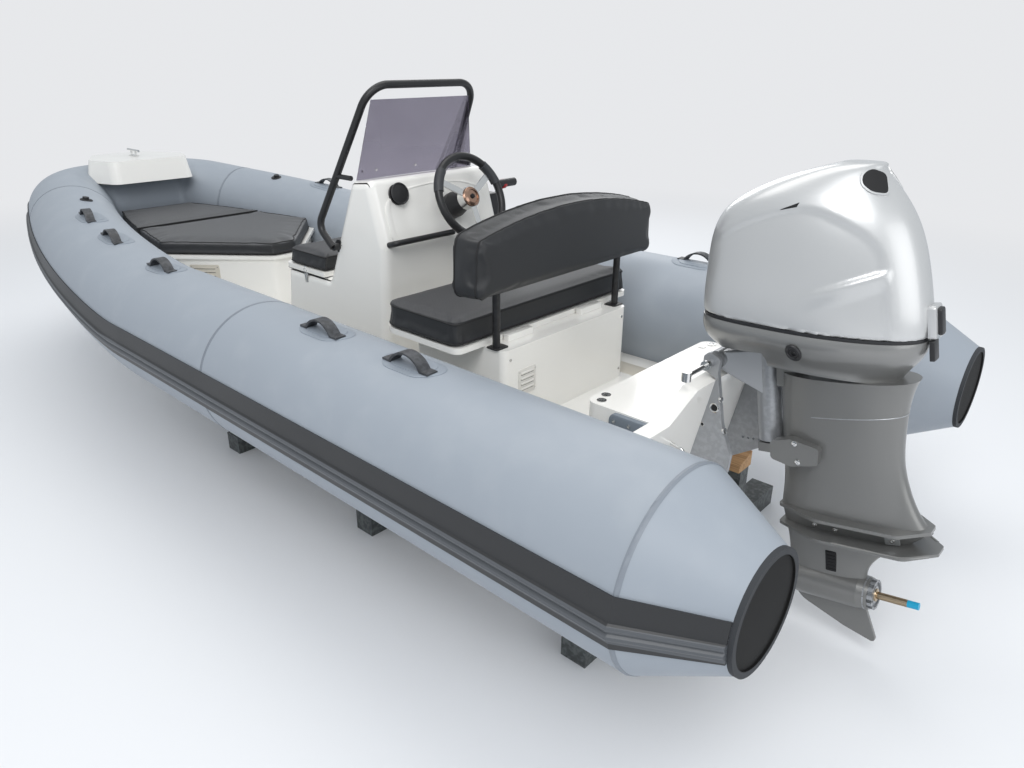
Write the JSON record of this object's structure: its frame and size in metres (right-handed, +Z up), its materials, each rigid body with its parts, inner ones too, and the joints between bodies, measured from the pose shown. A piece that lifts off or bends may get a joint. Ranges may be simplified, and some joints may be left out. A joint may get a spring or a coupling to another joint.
{
  "type": "rigid inflatable boat",
  "caption": "Rigid inflatable boat with centre console, helm seat, bow cushions and a tilting outboard engine, resting on a padded storage cradle.",
  "frame": {"origin": "on the floor under the cradle's feet, on the centre line, below the foot of the transom", "axes": "+X towards the bow, +Y to port, +Z up"},
  "size_m": [5.0833, 2.0946, 1.577],
  "materials": {
    "tube": "satin coated fabric",
    "tube_trim": "matt black rubber",
    "gelcoat": "white gelcoat",
    "upholstery": "charcoal marine vinyl over foam",
    "stainless": "polished stainless steel",
    "clear_tint": "smoked clear sheet",
    "black_tube": "black powder coat",
    "black_plastic": "black plastic",
    "engine_silver": "silver metallic paint",
    "engine_block": "bare",
    "shaft_steel": "machined steel",
    "cap_blue": "blue plastic",
    "cradle_steel": "dark paint",
    "cradle_timber": "sawn softwood"
  },
  "bodies": {
    "root": {"tube_port_aft": "tube", "tube_port_forward": "tube", "tube_starboard_aft": "tube", "tube_starboard_forward": "tube", "tube_bow": "tube", "tube_end_discs": "tube_trim", "rub_strake": "tube_trim", "tube_handles": "tube_trim", "inflation_valves": "tube_trim", "hull": "gelcoat", "deck": "gelcoat", "bow_locker": "gelcoat", "bow_cushion_main": "upholstery", "bow_cushion_front": "upholstery", "bow_step": "gelcoat", "bow_cleat": "stainless", "console": "gelcoat", "windscreen": "clear_tint", "hoop_rail": "black_tube", "dash_gauge": "black_plastic", "grab_bar": "black_tube", "helm_bezel": "black_plastic", "throttle_control": "black_plastic", "helm_seat_box": "gelcoat", "seat_hinges": "stainless", "backrest_posts": "black_tube", "backrest": "upholstery", "aft_ledge": "gelcoat", "towing_eyes": "stainless", "clamp_bracket": "engine_silver", "steering_ram": "stainless", "cradle_frame": "cradle_steel", "cradle_bunks": "cradle_timber"},
    "console_seat": {"console_seat_lid": "gelcoat", "console_cushion": "upholstery"},
    "helm_lid": {"helm_seat_lid": "gelcoat", "helm_cushion": "upholstery"},
    "wheel": {"steering_wheel_rim": "black_tube", "steering_wheel_hub": "stainless"},
    "swivel": {"swivel_bracket": "engine_silver"},
    "engine": {"cowl_top": "engine_silver", "cowl_seal": "black_plastic", "cowl_pan": "engine_silver", "powerhead": "engine_block", "midsection": "engine_silver", "mount_covers": "engine_silver", "gearcase": "engine_silver"},
    "propeller": {"propeller_shaft": "shaft_steel", "shaft_cap": "cap_blue"}
  },
  "joints": [
    {"name": "engine_tilt", "type": "hinge", "parent": "root", "child": "swivel", "pos_m": [-0.09, 0, 0.84], "axis": [0, 1, 0], "range_deg": [-4, 52]},
    {"name": "engine_steer", "type": "hinge", "parent": "swivel", "child": "engine", "pos_m": [-0.20325, 0, 0.85997], "axis": [0.1736, 0, 0.9848], "range_deg": [-30, 30]},
    {"name": "propeller_spin", "type": "hinge", "parent": "engine", "child": "propeller", "pos_m": [-0.61619, 0, 0.21691], "axis": [0.9848, 0, -0.1736], "continuous": true},
    {"name": "helm_wheel", "type": "hinge", "parent": "root", "child": "wheel", "pos_m": [1.085, -0.062, 1.158], "axis": [0.9135, 0, -0.4067], "range_deg": [-630, 630]},
    {"name": "helm_seat_hinge", "type": "hinge", "parent": "root", "child": "helm_lid", "pos_m": [0.9743, 0, 0.766], "axis": [0, 1, 0], "range_deg": [0, 60]},
    {"name": "console_seat_hinge", "type": "hinge", "parent": "root", "child": "console_seat", "pos_m": [1.71, -0.3163, 0.812], "axis": [1, 0, 0], "range_deg": [0, 95]}
  ],
  "couplings": [
    {"joint": "helm_wheel", "follows": "engine_steer", "ratio": 21}
  ]
}
